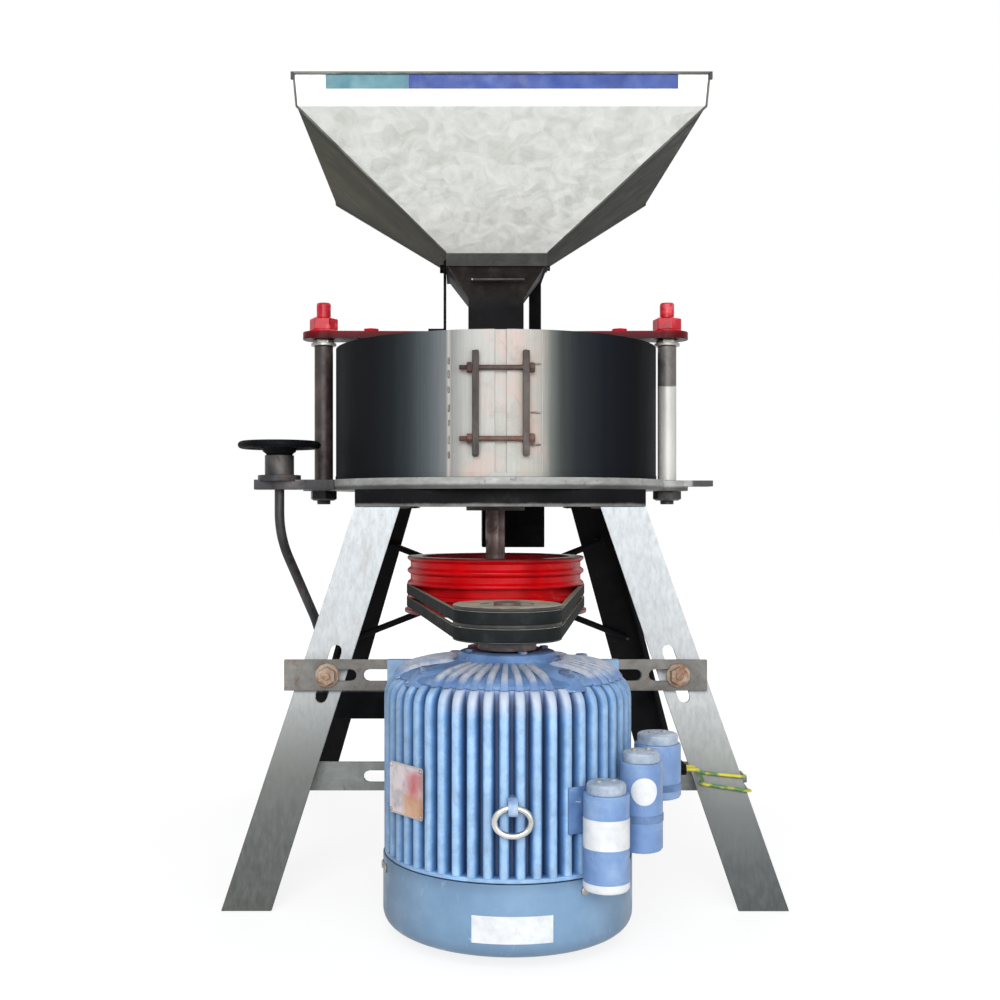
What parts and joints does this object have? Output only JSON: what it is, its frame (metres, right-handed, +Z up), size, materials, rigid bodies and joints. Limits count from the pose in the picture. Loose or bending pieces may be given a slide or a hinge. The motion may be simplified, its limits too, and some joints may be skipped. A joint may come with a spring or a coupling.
{
  "type": "stone grinder",
  "caption": "Vertical-spindle stone flour mill: square hopper over a steel-jacketed stone pair on a splayed angle stand, driven by V-belts from a finned vertical motor.",
  "frame": {"origin": "middle of the object's box in plan, on the floor", "axes": "+Z up, -Y to the front where the motor stands, +X to the right seen from the front"},
  "size_m": [0.643, 0.9112, 0.9394],
  "materials": {
    "bareSteel": "worn grey steel",
    "beltRubber": "matt belt fabric",
    "blackPaint": "black paint",
    "blackened": "blued and wiped sheet steel",
    "bluePaint": "satin pale blue paint",
    "canBlue": "glossy blue sleeve",
    "castIron": "bare casting",
    "chromed": "bright plating",
    "darkSteel": "dark oiled steel",
    "galvanised": "spangled zinc sheet",
    "leadYellow": "yellow and green lead cover",
    "redPaint": "satin red paint",
    "rusty": "lightly rusted steel",
    "stone": "dressed millstone",
    "zinc": "turned steel"
  },
  "bodies": {
    "stand_and_housings": {"front_left_leg": "bareSteel", "front_right_leg": "bareSteel", "rear_left_leg": "bareSteel", "rear_right_leg": "bareSteel", "top_frame": "darkSteel", "rear_brace_1": "blackPaint", "rear_brace_2": "blackPaint", "upper_motor_rail": "bareSteel", "lower_motor_rail": "bareSteel", "rail_bolt_left": "rusty", "rail_bolt_right": "rusty", "footstep_bridge": "blackPaint", "footstep_bracket": "castIron", "lever_pin": "zinc", "neck_bearing": "castIron", "base_plate": "bareSteel", "outlet_chute": "blackPaint", "stone_jacket": "blackened", "clamp_bar_left": "rusty", "clamp_bar_right": "rusty", "clamp_bolt_lower": "rusty", "clamp_bolt_upper": "rusty", "top_casting": "redPaint", "tie_bolt_left": "darkSteel", "tie_nut_left": "redPaint", "tie_bolt_right": "darkSteel", "tie_nut_right": "redPaint", "tie_bolt_rear": "darkSteel", "tie_nut_rear": "redPaint", "fixed_stone": "stone", "hopper": "galvanised", "feed_spout": "darkSteel", "hopper_support_left": "darkSteel", "hopper_support_right": "darkSteel", "v_belt_1": "beltRubber", "v_belt_2": "beltRubber", "motor_frame": "bluePaint", "drive_end_shield": "bluePaint", "fan_end_shield": "bluePaint", "fan_cowl": "bluePaint", "capacitor_1": "canBlue", "capacitor_2": "canBlue", "capacitor_3": "canBlue", "capacitor_strap": "bluePaint", "terminal_box": "blackPaint", "earth_lead": "leadYellow", "handwheel_arm": "darkSteel"},
    "handwheel": {"handwheel": "blackPaint"},
    "lift_rod": {"lift_rod": "darkSteel"},
    "tentering_lever": {"tentering_lever": "blackPaint"},
    "footstep_cup": {"footstep_cup": "castIron"},
    "spindle_set": {"spindle": "zinc", "runner_plate": "castIron", "runner_stone": "stone", "driven_pulley": "redPaint"},
    "motor_shaft_set": {"motor_shaft": "zinc", "motor_pulley": "rusty", "cooling_fan": "blackPaint"},
    "feed_gate": {"feed_gate": "galvanised"},
    "lifting_ring": {"lifting_ring": "chromed"}
  },
  "joints": [
    {"name": "handwheel_turn", "type": "hinge", "parent": "stand_and_housings", "child": "handwheel", "pos_m": [-0.2675, 0.04358, 0.51], "axis": [0, 0, 1], "range_deg": [0, 639.5]},
    {"name": "lift_rod_slide", "type": "slide", "parent": "stand_and_housings", "child": "lift_rod", "axis": [0, 0, 1], "range_m": [0, 0.00446]},
    {"name": "lever_tilt", "type": "hinge", "parent": "stand_and_housings", "child": "tentering_lever", "pos_m": [0.1365, 0.10358, 0.166], "axis": [0, 1, 0], "range_deg": [0, 0.7202]},
    {"name": "spindle_lift", "type": "slide", "parent": "stand_and_housings", "child": "footstep_cup", "axis": [0, 0, 1], "range_m": [0, 0.0015]},
    {"name": "spindle_spin", "type": "hinge", "parent": "footstep_cup", "child": "spindle_set", "pos_m": [0.0165, 0.10358, 0.22], "axis": [0, 0, 1], "continuous": true},
    {"name": "motor_spin", "type": "hinge", "parent": "stand_and_housings", "child": "motor_shaft_set", "pos_m": [0.0165, -0.30787, 0.1], "axis": [0, 0, 1], "continuous": true},
    {"name": "feed_gate_slide", "type": "slide", "parent": "stand_and_housings", "child": "feed_gate", "axis": [0, 1, 0], "range_m": [0, 0.08]},
    {"name": "lifting_ring_swing", "type": "hinge", "parent": "stand_and_housings", "child": "lifting_ring", "pos_m": [0.0165, -0.44087, 0.157], "axis": [1, 0, 0], "range_deg": [-115, 5]}
  ],
  "couplings": [
    {"joint": "handwheel_turn", "follows": "spindle_lift", "rad_per_m": 7435.1},
    {"joint": "lift_rod_slide", "follows": "spindle_lift", "ratio": 2.9583},
    {"joint": "lever_tilt", "follows": "spindle_lift", "rad_per_m": 8.3333},
    {"joint": "motor_spin", "follows": "spindle_spin", "ratio": 2.1887}
  ]
}
